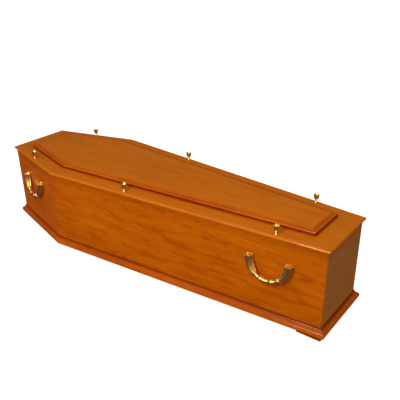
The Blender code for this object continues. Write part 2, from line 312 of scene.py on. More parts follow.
def turn_at(outline, corner):
    """Angle that the outline turns through at a corner."""
    before = edge_direction(outline, corner - 1)
    after = edge_direction(outline, corner)
    return math.atan2(before.x * after.y - before.y * after.x, before.dot(after))


def rounded_corner(outline, corner, radius, steps):
    """Points of a small arc that rounds one corner of the outline."""
    corner %= len(outline)
    turn = turn_at(outline, corner)
    first = edge_normal(outline, corner - 1)
    bisector = (first + edge_normal(outline, corner)).normalized()
    centre = outline[corner] - bisector * (radius / math.cos(turn / 2))
    points = []
    for step in range(steps + 1):
        angle = turn * step / steps
        cosine, sine = math.cos(angle), math.sin(angle)
        spoke = Vector((first.x * cosine - first.y * sine, first.x * sine + first.y * cosine))
        points.append(centre + spoke * radius)
    return points


# Profiles, as lists of (out, up, how hollow, how rubbed): hollows take stain and painted shade,
# rubbed edges take wear and painted highlight


def arc(centre, radius_x, radius_y, start, stop, steps):
    """Points on an elliptical arc, with angles in degrees."""
    points = []
    for step in range(steps + 1):
        angle = math.radians(start + (stop - start) * step / steps)
        across = centre[0] + radius_x * math.cos(angle)
        up = centre[1] + radius_y * math.sin(angle)
        points.append((across, up))
    return points


def shaded(points, hollow=0.0, rubbed=0.0):
    """Profile points with how hollow and how rubbed each one is: hollows darken with stain and
    painted shade, rubbed edges lighten with wear and painted highlight.
    """
    return [(out, up, hollow, rubbed) for out, up in points]


def board_profile(thickness, height, ease):
    """Upright board with eased edges, its outer face on the outline, darkened in a band at its top
    as painted shade under the lid, its arrises lightened as wear and painted highlight.
    """
    corners = [
        ((-ease, ease), 270, 360),
        ((-ease, height - ease), 0, 90),
        ((-thickness + ease, height - ease), 90, 180),
        ((-thickness + ease, ease), 180, 270),
    ]
    clear = 0.006
    shaded_band = 0.045
    points = []
    for centre, start, stop in corners:
        points += shaded(arc(centre, ease, ease, start, stop, 4), rubbed=0.6)
        if stop == 360:
            # The outer face darkens over its top band: painted shade under the lid's edge
            points += shaded([(0.0, clear), (0.0, height - shaded_band)])
            points += shaded([(0.0, height - clear)], hollow=0.55)
        if stop == 180:
            points += shaded([(-thickness, height - clear), (-thickness, clear)])
    return points


def plinth_profile(sizes, height):
    """Ogee between a narrow top fillet and an upright foot, hollow above and full below."""
    fillet = 0.0035
    foot = 0.0135
    ease = sizes.arris
    top_ease = 0.0006
    outer = sizes.plinth_projection - ease
    top = height - fillet
    steps = 24
    ogee = []
    for index in range(steps + 1):
        share = index / steps
        eased = share * share * (3 - 2 * share)
        out = outer + (fillet - outer) * eased
        up = foot + (top - foot) * share
        # The ogee darkens towards the wall with stain and painted shade and is lightened low down
        # as wear and painted highlight
        ogee.append((out, up, 0.1 + 0.9 * eased**3, 0.25 * (1 - share)))
    back = sizes.joint_gap
    return [
        (back, 0.0, 0.4, 0.0),
        # The foot's arrises are lightened as wear and painted highlight
        *shaded(arc((outer, ease), ease, ease, 270, 360, 4), 0.15, 0.3),
        *shaded(arc((outer, foot - ease), ease, ease, 0, 80, 4), rubbed=0.8),
        *ogee,
        *shaded(
            arc((fillet - top_ease, height - top_ease), top_ease, top_ease, 0, 90, 3), 0.6, 0.2
        ),
        (back, height, 1.0, 0.0),
    ]


def moulding_profile(sizes, height):
    """Top fillet, cove, round bead, quirk and foot, outwards from the raised board."""
    width = sizes.moulding_width
    radius = sizes.bead_radius
    foot = 0.0025
    top_width = 0.004
    quirk = 0.003
    ease = 0.0006
    bead_x = width - radius - quirk
    bead = arc((bead_x, foot + radius), radius, radius, -50, 100, 22)
    cove_x, cove_foot = bead[-1]
    reach = cove_x - top_width
    cove = arc((cove_x, height), reach, height - cove_foot, 262, 180, 16)[:-1]
    back = sizes.joint_gap
    return [
        (back, 0.0, 0.6, 0.0),
        (width, 0.0, 0.6, 0.0),
        *shaded(arc((width - ease, foot - ease), ease, ease, 0, 90, 3), 0.3, 0.4),
        # Quirk and lower bead are darkened as painted shadow under the bead, with stain; the upper
        # bead is lightened as wear and painted highlight
        (bead[0][0] + quirk / 2, foot, 1.0, 0.0),
        *shaded(bead[:8], hollow=0.9),
        *shaded(bead[8:12], hollow=0.5),
        *shaded(bead[12:-3], rubbed=0.6),
        *shaded(bead[-3:], hollow=0.2),
        *shaded(cove[1:5], hollow=0.35),
        *shaded(cove[5:], hollow=0.05),
        *shaded(arc((top_width - ease, height - ease), ease, ease, 0, 90, 3), rubbed=0.7),
        (back, height, 0.3, 0.0),
    ]


def lid_profile(sizes, thickness):
    """Edge of the lid from its underside to its top: cove, nose, ovolo and top step."""
    overhang = sizes.lid_overhang
    step = 0.001
    neck = overhang * 3 / 11
    reach = overhang - neck
    nose = thickness / 2
    ease = 0.0004
    cove = arc((overhang, 0), reach, nose - step, 180, 92, 10)
    ovolo = arc((neck, nose), reach, thickness - step - nose, 0, 88, 14)
    return [
        (-0.020, 0.0, 0.0, 0.0),
        # The cove under the nose is darkened as painted shade under the lid's edge; the nose, ovolo
        # and top arris are lightened as wear and painted highlight
        *shaded(cove, hollow=0.8),
        *shaded(arc((overhang - ease, nose - step + ease), ease, ease, 290, 360, 3), rubbed=0.5),
        *shaded(ovolo[1:], rubbed=0.35),
        (neck, thickness - step, 0.7, 0.0),
        *shaded(arc((neck - ease, thickness - ease), ease, ease, 0, 90, 3), rubbed=0.9),
        (-0.005, thickness, 0.0, 0.0),
    ]


# Mesh helpers


def store(data, name, kind, values):
    """Write one value for each vertex of a mesh under a name."""
    layer = data.attributes.new(name, kind, "POINT")
    key = "vector" if kind == "FLOAT_VECTOR" else "value"
    layer.data.foreach_set(key, np.array(values, dtype=np.float32).ravel())


SHARP_TURN = 0.6
LEAST_TURN = 0.005
BROAD_BESIDE_NARROW = 4


def mark_arrises(data):
    """Smooth shading that stops at sharp turns and where a broad face meets a narrow one."""
    build = bmesh.new()
    build.from_mesh(data)
    bmesh.ops.remove_doubles(build, verts=build.verts, dist=1e-6)
    bmesh.ops.recalc_face_normals(build, faces=build.faces)
    for face in build.faces:
        face.smooth = True
    for edge in build.edges:
        if len(edge.link_faces) != 2:
            continue
        angle = edge.calc_face_angle(0.0)
        areas = sorted(face.calc_area() for face in edge.link_faces)
        broad = areas[1] > BROAD_BESIDE_NARROW * areas[0] and angle > LEAST_TURN
        edge.smooth = not (angle > SHARP_TURN or broad)
    build.to_mesh(data)
    build.free()


def ring_mesh(name, rings):
    """Mesh through rings that have the same number of points, capped at both ends."""
    count = len(rings[0])
    points = [tuple(point) for ring in rings for point in ring]
    faces = []
    for level in range(len(rings) - 1):
        base = level * count
        for index in range(count):
            beside = (index + 1) % count
            faces.append((base + index, base + beside, base + count + beside, base + count + index))
    faces.append(tuple(range(count)))
    faces.append(tuple(range(len(points) - count, len(points))))
    data = bpy.data.meshes.new(name)
    data.from_pydata(points, [], faces)
    return data


def link_object(name, data):
    """Object for a mesh, light or camera, in the scene."""
    item = bpy.data.objects.new(name, data)
    bpy.context.scene.collection.objects.link(item)
    return item


def finish_piece(name, data, materials, nodes, sharp=True):
    """Object for a finished mesh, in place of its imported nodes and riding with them."""
    if sharp:
        mark_arrises(data)
    data.materials.clear()
    for material in materials:
        data.materials.append(material)
    piece = link_object(name, data)
    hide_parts(*nodes)
    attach(piece, BODY)


def give_faces(data, slot, test):
    """Give one of the mesh's materials to the faces whose centre and normal pass a test."""
    for face in data.polygons:
        if test(face.center, face.normal):
            face.material_index = slot


# Node helpers


def fill(tree, item, inputs):
    """Link each named input of a node from a socket, or set it to a value."""
    for key, value in inputs.items():
        if isinstance(value, NodeSocket):
            tree.links.new(value, item.inputs[key])
        else:
            item.inputs[key].default_value = value


def put(tree, kind, inputs=None, **settings):
    """Node with its settings and inputs."""
    item = tree.nodes.new(kind)
    for key, value in settings.items():
        setattr(item, key, value)
    fill(tree, item, inputs or {})
    return item


def calc(tree, operation, first, second=0.0, third=0.0):
    """Result of a sum on two or three numbers."""
    values = {0: first, 1: second, 2: third}
    return put(tree, "ShaderNodeMath", values, operation=operation).outputs[0]


def blend_colour(tree, factor, first, second):
    """Colour mixed from two by a factor."""
    values = {0: factor, 6: first, 7: second}
    return put(tree, "ShaderNodeMix", values, data_type="RGBA").outputs[2]


def remap(tree, value, low, high, new_low=0.0, new_high=1.0):
    """Value stretched from one range to another and clamped to it."""
    values = {0: value, 1: low, 2: high, 3: new_low, 4: new_high}
    return put(tree, "ShaderNodeMapRange", values).outputs[0]


def noise(tree, place, scale, detail, roughness, distortion=0.0):
    """Soft noise between 0 and 1, with its own scale along each axis."""
    values = {0: place, 1: scale}
    scaled = put(tree, "ShaderNodeVectorMath", values, operation="MULTIPLY").outputs[0]
    values = {
        "Vector": scaled,
        "Scale": 1.0,
        "Detail": detail,
        "Roughness": roughness,
        "Distortion": distortion,
    }
    return put(tree, "ShaderNodeTexNoise", values).outputs[0]


def new_group(name, kind, inputs, outputs):
    """Node group with named sockets, its input node and its output node."""
    tree = bpy.data.node_groups.new(name, kind)
    for label, (socket_type, default) in inputs.items():
        socket = tree.interface.new_socket(label, in_out="INPUT", socket_type=socket_type)
        if default is not None:
            socket.default_value = default
    for label, socket_type in outputs.items():
        tree.interface.new_socket(label, in_out="OUTPUT", socket_type=socket_type)
    return tree, tree.nodes.new("NodeGroupInput"), tree.nodes.new("NodeGroupOutput")


COLOUR = "NodeSocketColor"
NUMBER = "NodeSocketFloat"
VECTOR = "NodeSocketVector"


# Shader node groups

FIGURE_NOISES = {
    # scale along and across the grain, detail, roughness, distortion
    "streak": ((2.2, 44.0, 44.0), 6.0, 0.66),
    "broad": ((1.6, 7.0, 7.0), 2.0, 0.5),
    "mottle": ((6.5, 26.0, 26.0), 6.0, 0.70, 1.0),
    "fibre": ((16.0, 620.0, 620.0), 2.0, 0.6),
    "pore": ((70.0, 1500.0, 1500.0), 1.0, 0.5),
}
# How far the grain wanders across the board, and where the middle line of the arches lies
GRAIN_DRIFT = 0.024
ARCH_MIDDLE = 0.19
# Width of an arch as a share of its length, and radians of its waves in a metre
ARCH_WIDTH = 0.085
ARCH_RATE = 330.0


def wood_figure_group():
    """Straight-grained veneer: lengthwise streaks, mottles, faint arches, fibres and pores."""
    if "wood_figure" in bpy.data.node_groups:
        return bpy.data.node_groups["wood_figure"]
    tree, start, end = new_group(
        "wood_figure",
        "ShaderNodeTree",
        {
            "Place": (VECTOR, None),
            "Light": (COLOUR, (0.6, 0.2, 0.02, 1)),
            "Dark": (COLOUR, (0.3, 0.08, 0.01, 1)),
            "Streaks": (NUMBER, 0.5),
            "Mottles": (NUMBER, 0.5),
            "Arches": (NUMBER, 0.2),
            "Fibres": (NUMBER, 0.2),
            "Pores": (NUMBER, 0.2),
        },
        {"Colour": COLOUR, "Figure": NUMBER, "Height": NUMBER},
    )
    given = start.outputs
    drift = noise(tree, given["Place"], (2.0, 5.0, 5.0), 2.0, 0.5)
    along, across, depth = put(tree, "ShaderNodeSeparateXYZ", {0: given["Place"]}).outputs
    shift = calc(tree, "MULTIPLY", calc(tree, "SUBTRACT", drift, 0.5), GRAIN_DRIFT)
    across = calc(tree, "ADD", across, shift)
    warped = put(tree, "ShaderNodeCombineXYZ", {0: along, 1: across, 2: depth}).outputs[0]
    found = {name: noise(tree, warped, *row) for name, row in FIGURE_NOISES.items()}
    aside = calc(tree, "ABSOLUTE", calc(tree, "ADD", across, -ARCH_MIDDLE))
    squared = calc(tree, "POWER", aside, 2.0)
    length = calc(tree, "POWER", calc(tree, "MULTIPLY", along, ARCH_WIDTH), 2.0)
    distance = calc(tree, "SQRT", calc(tree, "ADD", squared, length))
    waver = calc(tree, "MULTIPLY", found["mottle"], 4.0)
    phase = calc(tree, "MULTIPLY_ADD", distance, ARCH_RATE, waver)
    arch = calc(tree, "MULTIPLY_ADD", calc(tree, "SINE", phase), 0.5, 0.5)

    def weighed(value, weight):
        return calc(tree, "MULTIPLY", calc(tree, "SUBTRACT", value, 0.5), given[weight])

    streaks = weighed(remap(tree, found["streak"], 0.30, 0.70), "Streaks")
    tone = calc(tree, "MULTIPLY_ADD", weighed(found["broad"], "Streaks"), 1.2, streaks)
    spots = calc(tree, "MULTIPLY", remap(tree, found["mottle"], 0.48, 0.70), given["Mottles"])
    dashes = calc(tree, "MULTIPLY", remap(tree, found["pore"], 0.62, 0.72), given["Pores"])
    for part in (spots, weighed(arch, "Arches"), weighed(found["fibre"], "Fibres"), dashes, 0.4):
        tone = calc(tree, "ADD", tone, part)
    tone = put(tree, "ShaderNodeClamp", {0: tone}).outputs[0]
    colour = blend_colour(tree, tone, given["Light"], given["Dark"])
    height = calc(tree, "SUBTRACT", calc(tree, "MULTIPLY", found["fibre"], 0.5), dashes)
    fill(tree, end, {"Colour": colour, "Figure": tone, "Height": height})
    return tree


def stain_shade_wear_highlight_group():
    """Stain and painted shade gathered in hollows, and edges rubbed lighter and duller as wear and
    painted highlight.
    """
    if "stain_wear" in bpy.data.node_groups:
        return bpy.data.node_groups["stain_wear"]
    tree, start, end = new_group(
        "stain_wear",
        "ShaderNodeTree",
        {
            "Place": (VECTOR, None),
            "Colour": (COLOUR, (0.5, 0.2, 0.05, 1)),
            "Hollow": (NUMBER, 0.0),
            "Rubbed": (NUMBER, 0.0),
            "Stain": (COLOUR, (0.2, 0.03, 0.002, 1)),
            "Worn": (COLOUR, (0.8, 0.35, 0.05, 1)),
            "Gathering": (NUMBER, 0.6),
            "Wear": (NUMBER, 0.3),
            "Roughness": (NUMBER, 0.3),
        },
        {"Colour": COLOUR, "Roughness": NUMBER},
    )
    given = start.outputs
    patch = noise(tree, given["Place"], (14.0, 60.0, 60.0), 3.0, 0.6)
    breaks = remap(tree, patch, 0.35, 0.65)
    # Stain and painted shade: the hollow mask darkens the colour
    darkened = calc(tree, "MULTIPLY", given["Hollow"], given["Gathering"])
    darkened = calc(tree, "MULTIPLY", darkened, remap(tree, breaks, 0.0, 1.0, 0.8, 1.0))
    colour = blend_colour(tree, darkened, given["Colour"], given["Stain"])
    # Wear and painted highlight: rubbed edges are lightened
    worn_highlight = calc(tree, "MULTIPLY", given["Rubbed"], given["Wear"])
    worn_highlight = calc(tree, "MULTIPLY", worn_highlight, breaks)
    colour = blend_colour(tree, worn_highlight, colour, given["Worn"])
    rough = calc(tree, "MULTIPLY_ADD", breaks, 0.06, given["Roughness"])
    rough = calc(tree, "MULTIPLY_ADD", worn_highlight, 0.12, rough)
    fill(tree, end, {"Colour": colour, "Roughness": rough})
    return tree


def cast_gilt_group():
    """Gilt casting, bright on its ridges and browned in its hollows."""
    if "cast_gilt" in bpy.data.node_groups:
        return bpy.data.node_groups["cast_gilt"]
    tree, start, end = new_group(
        "cast_gilt",
        "ShaderNodeTree",
        {
            "Place": (VECTOR, None),
            "Gilt": (COLOUR, (0.9, 0.6, 0.25, 1)),
            "Tarnish": (COLOUR, (0.3, 0.16, 0.04, 1)),
            "Hollow": (NUMBER, 0.0),
            "Roughness": (NUMBER, 0.2),
        },
        {"Colour": COLOUR, "Roughness": NUMBER, "Height": NUMBER},
    )
    given = start.outputs
    cloud = noise(tree, given["Place"], (85.0, 85.0, 85.0), 3.0, 0.55)
    grit = noise(tree, given["Place"], (900.0, 900.0, 900.0), 2.0, 0.5)
    cloud = remap(tree, cloud, 0.40, 0.75)
    browned = calc(tree, "MULTIPLY_ADD", cloud, 0.14, given["Hollow"])
    browned = put(tree, "ShaderNodeClamp", {0: browned}).outputs[0]
    browned = calc(tree, "POWER", browned, 0.6)
    colour = blend_colour(tree, browned, given["Gilt"], given["Tarnish"])
    rough = calc(tree, "MULTIPLY_ADD", browned, 0.30, given["Roughness"])
    rough = calc(tree, "MULTIPLY_ADD", grit, 0.05, rough)
    fill(tree, end, {"Colour": colour, "Roughness": rough, "Height": grit})
    return tree


# Materials

# In each look the stain and gathering values set how dark hollows grow with stain and painted
# shade; wear sets how light rubbed edges grow with wear and painted highlight
VENEER_LOOK = {
    "streaks": 0.50,
    "mottles": 0.65,
    "arches": 0.08,
    "fibres": 0.18,
    "pores": 0.15,
    "stain": 0.45,
    "gathering": 0.6,
    "wear": 0.35,
    "roughness": 0.50,
    "relief": 0.06,
    "specular": 0.02,
    "coat_roughness": 0.06,
}
MOULDING_LOOK = {
    **VENEER_LOOK,
    "streaks": 0.45,
    "mottles": 0.35,
    "arches": 0.0,
    "stain": 0.42,
    "gathering": 0.95,
    "wear": 0.40,
    "roughness": 0.42,
    "coat_roughness": 0.10,
}
BARE_LOOK = {
    **VENEER_LOOK,
    "streaks": 0.8,
    "mottles": 0.1,
    "arches": 0.30,
    "fibres": 0.5,
    "pores": 0.4,
    "roughness": 0.75,
    "relief": 0.35,
    "wear": 0.1,
}
WOODS = {
    # colours, look, share of the varnish's gloss
    "side_veneer": ("side", VENEER_LOOK, 1.0),
    # The shoulder veneer is a lighter copy of the side veneer on the same boards: painted light
    "shoulder_veneer": ("shoulder", VENEER_LOOK, 1.0),
    "end_veneer": ("end", {**VENEER_LOOK, "streaks": 0.25, "mottles": 0.25}, 1.0),
    "lid_veneer": ("lid", {**VENEER_LOOK, "mottles": 0.35}, 1.0),
    "moulding_stain": ("moulding", MOULDING_LOOK, 0.3),
    "bare_board": ("bare", BARE_LOOK, 0.0),
}
GRAIN_RELIEF = 0.0004
CASTING_RELIEF = 0.0003


def new_material(name):
    """Material with its node tree and its shader."""
    material = bpy.data.materials.new(name)
    material.use_nodes = True
    return material, material.node_tree, material.node_tree.nodes["Principled BSDF"]


def attribute(tree, name, output):
    """Value of a mesh attribute."""
    return put(tree, "ShaderNodeAttribute", attribute_name=name).outputs[output]


def bump(tree, height, strength, distance):
    """Normal of a surface with fine relief."""
    values = {"Strength": strength, "Distance": distance, "Height": height}
    return put(tree, "ShaderNodeBump", values).outputs[0]


def opaque(colour):
    """Colour with full cover."""
    return (*colour, 1.0)


def wood_material(name, light, dark, look, gloss, along=None):
    """Board or moulding, with its grain along the piece, or turned by an angle about Z."""
    if name in bpy.data.materials:
        return bpy.data.materials[name]
    material, tree, shader = new_material(name)
    if along is None:
        place = attribute(tree, GRAIN, "Vector")
    else:
        source = tree.nodes.new("ShaderNodeTexCoord").outputs["Object"]
        turned = {"Vector": source, "Rotation": (0.0, 0.0, along)}
        place = put(tree, "ShaderNodeMapping", turned).outputs[0]
    values = {"Place": place, "Light": opaque(light), "Dark": opaque(dark)}
    for part in ("streaks", "mottles", "arches", "fibres", "pores"):
        values[part.title()] = look[part]
    figure = put(tree, "ShaderNodeGroup", values, node_tree=wood_figure_group()).outputs
    values = {
        "Place": place,
        "Colour": figure["Colour"],
        "Hollow": attribute(tree, HOLLOW, "Fac"),
        "Rubbed": attribute(tree, RUBBED_HIGHLIGHT, "Fac"),
        # Dark colour for stain and painted shade in hollows, light colour for wear and painted
        # highlight on rubbed edges
        "Stain": opaque([value * look["stain"] for value in dark]),
        "Worn": opaque([min(1.0, value * 1.35 + 0.003) for value in light]),
    }
    for part in ("gathering", "wear", "roughness"):
        values[part.title()] = look[part]
    wear = put(tree, "ShaderNodeGroup", values, node_tree=stain_shade_wear_highlight_group()).outputs
    surface = {
        "Base Color": wear["Colour"],
        "Roughness": wear["Roughness"],
        "Normal": bump(tree, figure["Height"], look["relief"], GRAIN_RELIEF),
        "Specular IOR Level": look["specular"],
        "Coat Weight": gloss,
        "Coat Roughness": look["coat_roughness"],
    }
    fill(tree, shader, surface)
    return material


def wood(name, finish):
    """One of the coffin's woods, in the colours that its finish gives."""
    stem, look, gloss_share = WOODS[name]
    light = getattr(finish, f"{stem}_light")
    dark = getattr(finish, f"{stem}_dark")
    return wood_material(name, light, dark, look, gloss_share * finish.gloss)


def gilt_metal(finish):
    """Polished gilt metal of the screws and handles."""
    if "gilt_metal" in bpy.data.materials:
        return bpy.data.materials["gilt_metal"]
    material, tree, shader = new_material("gilt_metal")
    values = {
        "Place": tree.nodes.new("ShaderNodeTexCoord").outputs["Object"],
        "Gilt": opaque(finish.gilt),
        "Tarnish": opaque(finish.tarnish),
        "Hollow": attribute(tree, HOLLOW, "Fac"),
        "Roughness": 0.26,
    }
    gilt = put(tree, "ShaderNodeGroup", values, node_tree=cast_gilt_group()).outputs
    surface = {
        "Base Color": gilt["Colour"],
        "Roughness": gilt["Roughness"],
        "Normal": bump(tree, gilt["Height"], 0.10, CASTING_RELIEF),
        "Metallic": 0.7,
        "Specular Tint": (0.85, 0.55, 0.22, 1.0),
    }
    fill(tree, shader, surface)
    return material


# Geometry Nodes: a mitred length of moulding


def end_tree(tree, geometry, material, end):
    """Make instances real and give them a material, as the tree's result."""
    real = put(tree, "GeometryNodeRealizeInstances", {"Geometry": geometry}).outputs[0]
    values = {"Geometry": real, "Material": material}
    fill(tree, end, {"Geometry": put(tree, "GeometryNodeSetMaterial", values).outputs[0]})


def mitred_length_tree():
    """Profile face drawn out along X, sheared to its mitres, then turned and put in place."""
    if "mitred_length" in bpy.data.node_groups:
        return bpy.data.node_groups["mitred_length"]
    tree, start, end = new_group(
        "mitred_length",
        "GeometryNodeTree",
        {
            "Geometry": ("NodeSocketGeometry", None),
            "Length": (NUMBER, 1.0),
            "Start Slope": (NUMBER, 0.0),
            "End Slope": (NUMBER, 0.0),
            "Trim": (NUMBER, 0.0),
            "Turn": (VECTOR, None),
            "Corner": (VECTOR, None),
            "Grain Shift": (VECTOR, None),
            "Material": ("NodeSocketMaterial", None),
        },
        {"Geometry": "NodeSocketGeometry"},
    )
    given = start.outputs
    profile, length = given["Geometry"], given["Length"]
    reach = put(tree, "ShaderNodeCombineXYZ", {0: length}).outputs[0]
    values = {"Mesh": profile, "Offset": reach, "Offset Scale": 1.0, "Individual": False}
    drawn = put(tree, "GeometryNodeExtrudeMesh", values)
    back = put(tree, "GeometryNodeFlipFaces", {"Mesh": profile})
    joined = tree.nodes.new("GeometryNodeJoinGeometry")
    tree.links.new(drawn.outputs["Mesh"], joined.inputs[0])
    tree.links.new(back.outputs["Mesh"], joined.inputs[0])
    values = {"Geometry": joined.outputs[0], "Distance": 1e-6}
    merged = put(tree, "GeometryNodeMergeByDistance", values)
    place = tree.nodes.new("GeometryNodeInputPosition").outputs[0]
    along, out, _ = put(tree, "ShaderNodeSeparateXYZ", {0: place}).outputs
    at_end = calc(tree, "GREATER_THAN", along, calc(tree, "MULTIPLY", length, 0.5))
    grown = calc(tree, "MULTIPLY", out, given["End Slope"])
    grown = calc(tree, "SUBTRACT", grown, given["Trim"])
    drawn_back = calc(tree, "MULTIPLY", out, given["Start Slope"])
    drawn_back = calc(tree, "SUBTRACT", given["Trim"], drawn_back)
    values = {0: at_end, 2: drawn_back, 3: grown}
    shear = put(tree, "ShaderNodeMix", values, data_type="FLOAT").outputs[0]
    slid = put(tree, "ShaderNodeCombineXYZ", {0: shear}).outputs[0]
    values = {"Geometry": merged.outputs[0], "Offset": slid}
    sheared = put(tree, "GeometryNodeSetPosition", values)
    values = {0: place, 1: given["Grain Shift"]}
    grain = put(tree, "ShaderNodeVectorMath", values, operation="ADD").outputs[0]
    values = {"Geometry": sheared.outputs[0], "Name": GRAIN, "Value": grain}
    stored = put(
        tree,
        "GeometryNodeStoreNamedAttribute",
        values,
        data_type="FLOAT_VECTOR",
        domain="POINT",
    )
    values = {
        "Geometry": stored.outputs[0],
        "Translation": given["Corner"],
        "Rotation": given["Turn"],
    }
    placed = put(tree, "GeometryNodeTransform", values)
    end_tree(tree, placed.outputs[0], given["Material"], end)
    return tree


def run_tree(name, data, tree, values):
    """Plain mesh that a Geometry Nodes tree makes from a starting mesh and named inputs."""
    host = link_object(f"{name}_host", data)
    modifier = host.modifiers.new(tree.name, "NODES")
    modifier.node_group = tree
    sockets = {item.name: item.identifier for item in tree.interface.items_tree}
    for key, value in values.items():
        modifier[sockets[key]] = value
    evaluated = host.evaluated_get(bpy.context.evaluated_depsgraph_get())
    result = bpy.data.meshes.new_from_object(evaluated)
    host.modifiers.remove(modifier)
    bpy.data.objects.remove(host, do_unlink=True)
    bpy.data.meshes.remove(data)
    if not result.polygons:
        raise RuntimeError(f"{name} came out empty")
    result.name = name
    return result


def profile_face(profile):
    """One flat face of a profile, out along Y and up along Z, with its hollows (stain and painted
    shade) and rubbed edges (wear and painted highlight).
    """
    data = bpy.data.meshes.new("profile")
    points = [(0.0, out, up) for out, up, _, _ in profile]
    data.from_pydata(points, [], [tuple(range(len(points)))])
    store(data, HOLLOW, "FLOAT", [point[2] for point in profile])
    store(data, RUBBED_HIGHLIGHT, "FLOAT", [point[3] for point in profile])
    return data


def mitred_length(name, outline, edge, profile, base_z, gap, material, shift):
    """Mesh of a profile along one edge of an outline, mitred at both ends.

    The profile's outward side lies at -Y in the tree, so the slopes are negative too.
    """
    following = (edge + 1) % len(outline)
    start_turn = turn_at(outline, edge)
    end_turn = turn_at(outline, following)
    direction = edge_direction(outline, edge)
    corner = outline[edge]
    values = {
        "Length": (outline[following] - corner).length,
        "Start Slope": -math.tan(start_turn / 2),
        "End Slope": -math.tan(end_turn / 2),
        "Trim": gap / 2 / math.cos(max(start_turn, end_turn) / 2),
        "Turn": (0.0, 0.0, math.atan2(direction.y, direction.x)),
        "Corner": (corner.x, corner.y, base_z),
        "Grain Shift": shift,
        "Material": material,
    }
    flipped = [(-out, up, hollow, rubbed) for out, up, hollow, rubbed in profile]
    return run_tree(name, profile_face(flipped), mitred_length_tree(), values)


# Geometry Nodes: a casting repeated on points


def castings_tree():
    """A prototype put on each point and turned by the point's own angle."""
    if "castings_on_points" in bpy.data.node_groups:
        return bpy.data.node_groups["castings_on_points"]
    tree, start, end = new_group(
        "castings_on_points",
        "GeometryNodeTree",
        {
            "Geometry": ("NodeSocketGeometry", None),
            "Casting": ("NodeSocketObject", None),
            "Material": ("NodeSocketMaterial", None),
        },
        {"Geometry": "NodeSocketGeometry"},
    )
    given = start.outputs
    casting = put(tree, "GeometryNodeObjectInfo", {"Object": given["Casting"]})
    turn = put(tree, "GeometryNodeInputNamedAttribute", {"Name": "turn"}, data_type="FLOAT")
    rotation = put(tree, "ShaderNodeCombineXYZ", {2: turn.outputs[0]})
    values = {
        "Points": given["Geometry"],
        "Instance": casting.outputs["Geometry"],
        "Rotation": rotation.outputs[0],
    }
    placed = put(tree, "GeometryNodeInstanceOnPoints", values)
    end_tree(tree, placed.outputs[0], given["Material"], end)
    return tree


def castings_mesh(name, prototype, places, material):
    """Mesh of a prototype repeated at (x, y, z, turn) places."""
    model = link_object(f"{name}_prototype", prototype)
    points = bpy.data.meshes.new(f"{name}_points")
    points.from_pydata([place[:3] for place in places], [], [])
    store(points, "turn", "FLOAT", [place[3] for place in places])
    bpy.context.view_layer.update()
    data = run_tree(name, points, castings_tree(), {"Casting": model, "Material": material})
    bpy.data.objects.remove(model, do_unlink=True)
    return data


# Boards


def board_rings(outline, first_edge, edge_count, profile, sizes, base_z):
    """Rings of a wall board along its edges, eased at the mitres and rounded at a bend."""
    last_edge = first_edge + edge_count - 1
    ease = sizes.arris
    plans = {out: even_offset(outline, out) for out, _, _, _ in profile}
    pulled = {out: even_offset(outline, min(out, -ease)) for out, _, _, _ in profile}
    first_way = edge_direction(outline, first_edge)
    last_way = edge_direction(outline, last_edge)
    stations = []

    def mitre(corner, way, inset):
        turn = turn_at(outline, corner)
        trim = sizes.joint_gap / 2 / math.cos(turn / 2) + inset * (1 + math.tan(turn / 2))
        source = plans if inset else pulled
        return {out: source[out][corner % len(outline)] + way * trim for out in plans}

    insets = (0.0, ease, 0.006)
    stations += [mitre(first_edge, first_way, inset) for inset in insets]
    steps = 6
    bend_radius = 0.004
    least_radius = 0.0006
    for corner in range(first_edge + 1, last_edge + 1):
        arcs = {}
        for out, plan in plans.items():
            radius = max(bend_radius + out, least_radius)
            arcs[out] = rounded_corner(plan, corner, radius, steps)
        for step in range(steps + 1):
            stations.append({out: points[step] for out, points in arcs.items()})
    stations += [mitre(last_edge + 1, -last_way, inset) for inset in insets[::-1]]
    rings = []
    for station in stations:
        ring = []
        for out, up, _, _ in profile:
            point = station[out]
            ring.append((point.x, point.y, base_z + up))
        rings.append(ring)
    return rings


def board_mesh(name, outline, first_edge, edge_count, sizes, base_z, height, shift):
    """Wall board with its grain running along it."""
    profile = board_profile(sizes.wall_thickness, height, sizes.arris)
    rings = board_rings(outline, first_edge, edge_count, profile, sizes, base_z)
    data = ring_mesh(name, rings)
    grain = []
    travelled = 0.0
    before = None
    for ring in rings:
        middle = Vector(ring[0])
        if before is not None:
            travelled += (middle - before).length
        before = middle
        for out, up, _, _ in profile:
            grain.append((travelled + shift[0], up + shift[1], out + shift[2]))
    store(data, GRAIN, "FLOAT_VECTOR", grain)
    store(data, HOLLOW, "FLOAT", [point[2] for _ in rings for point in profile])
    rubbed = []
    # Edges at the mitres are lightened as wear and painted highlight
    mitre_wear_and_highlight = 0.2
    outer_face = -0.003
    for index in range(len(rings)):
        wear = mitre_wear_and_highlight if index in (0, 1, len(rings) - 2, len(rings) - 1) else 0.0
        rubbed += [max(point[3], wear * (point[0] > outer_face)) for point in profile]
    store(data, RUBBED_HIGHLIGHT, "FLOAT", rubbed)
    return data


def inner_face_test(outline, thickness):
    """Test for faces on the inner side of the walls."""
    tolerance = 0.0005
    inner = even_offset(outline, -thickness + tolerance)

    def is_inner(centre, normal):
        if abs(normal.z) > 0.5:
            return False
        for edge in range(len(inner)):
            outward = edge_normal(inner, edge)
            if (centre.xy - inner[edge]).dot(outward) > 0:
                return False
        return True

    return is_inner


def flat_grain(data, shift):
    """Grain along X, taken from the mesh's own place."""
    grain = [[value + move for value, move in zip(vertex.co, shift)] for vertex in data.vertices]
    store(data, GRAIN, "FLOAT_VECTOR", grain)


